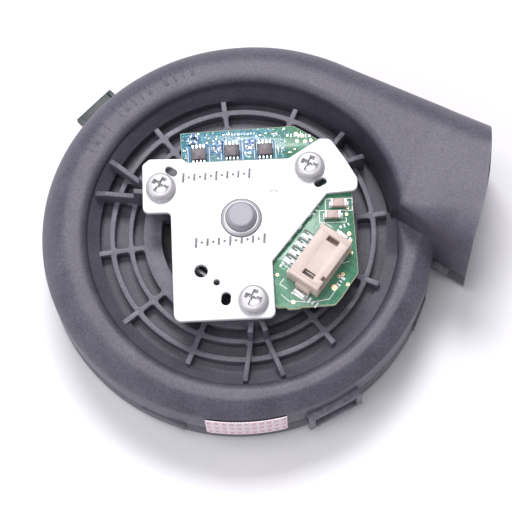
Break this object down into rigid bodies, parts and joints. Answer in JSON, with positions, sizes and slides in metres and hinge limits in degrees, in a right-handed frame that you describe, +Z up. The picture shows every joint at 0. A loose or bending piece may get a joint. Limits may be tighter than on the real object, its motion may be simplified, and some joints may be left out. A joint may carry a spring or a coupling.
{
  "type": "centrifugal blower",
  "caption": "Small flat centrifugal suction blower: snapped two-shell scroll housing with a side outlet, closed impeller on an outer-rotor motor, motor plate, driver board and header",
  "frame": {"origin": "centre of the bounding box in plan, at the inlet face the blower lies on", "axes": "+Z up along the motor axis, from the inlet face to the motor plate; +X towards the outlet, along the longest side"},
  "size_m": [0.0898, 0.0784, 0.0306],
  "materials": {
    "housing_plastic": "fine moulded grain, glass filled",
    "bright_zinc": "bright zinc plated sheet",
    "screw_steel": "bright plated",
    "board_green": "solder mask over copper tracks",
    "header_nylon": "natural nylon",
    "tinned_contact": "tin plated",
    "chip_epoxy": "moulded epoxy",
    "capacitor_ceramic": "ceramic body, tinned ends",
    "small_passive": "ceramic chip",
    "label_paper": "printed with a plain pattern",
    "impeller_plastic": "moulded",
    "rotor_steel": "drawn sheet",
    "magnet_ferrite": "bonded ferrite",
    "bearing_steel": "ground",
    "tube_brass": "turned",
    "lamination_steel": "stamped laminations",
    "coil_enamel": "enamelled copper wire",
    "insulator_nylon": "moulded"
  },
  "bodies": {
    "housing": {"bearing_tube": "tube_brass", "bulk_capacitor_1": "capacitor_ceramic", "bulk_capacitor_2": "capacitor_ceramic", "circuit_board": "board_green", "coil_1": "coil_enamel", "coil_2": "coil_enamel", "coil_3": "coil_enamel", "coil_4": "coil_enamel", "coil_5": "coil_enamel", "coil_6": "coil_enamel", "coil_7": "coil_enamel", "coil_8": "coil_enamel", "coil_9": "coil_enamel", "driver_chip_1": "chip_epoxy", "driver_chip_2": "chip_epoxy", "driver_chip_3": "chip_epoxy", "header_contact_1": "tinned_contact", "header_contact_2": "tinned_contact", "header_contact_3": "tinned_contact", "header_contact_4": "tinned_contact", "header_housing": "header_nylon", "header_tab_1": "tinned_contact", "header_tab_2": "tinned_contact", "lower_bearing_outer_ring": "bearing_steel", "lower_insulator": "insulator_nylon", "lower_shell": "housing_plastic", "motor_plate": "bright_zinc", "plate_screw_1": "screw_steel", "plate_screw_2": "screw_steel", "plate_screw_3": "screw_steel", "rating_label": "label_paper", "small_passive_1": "small_passive", "small_passive_2": "small_passive", "small_passive_3": "small_passive", "small_passive_4": "small_passive", "small_passive_5": "small_passive", "small_passive_6": "small_passive", "stator_core": "lamination_steel", "upper_bearing_outer_ring": "bearing_steel", "upper_insulator": "insulator_nylon", "upper_shell": "housing_plastic"},
    "rotor": {"impeller": "impeller_plastic", "impeller_shroud": "impeller_plastic", "rotor_cup": "rotor_steel", "rotor_magnet": "magnet_ferrite", "motor_shaft": "bearing_steel", "upper_bearing_inner_ring": "bearing_steel", "lower_bearing_inner_ring": "bearing_steel", "preload_washer": "bearing_steel"}
  },
  "joints": [
    {"name": "rotor_spin", "type": "hinge", "parent": "housing", "child": "rotor", "pos_m": [-0.00445, -0.00117, 0.018], "axis": [0, 0, 1], "continuous": true}
  ]
}
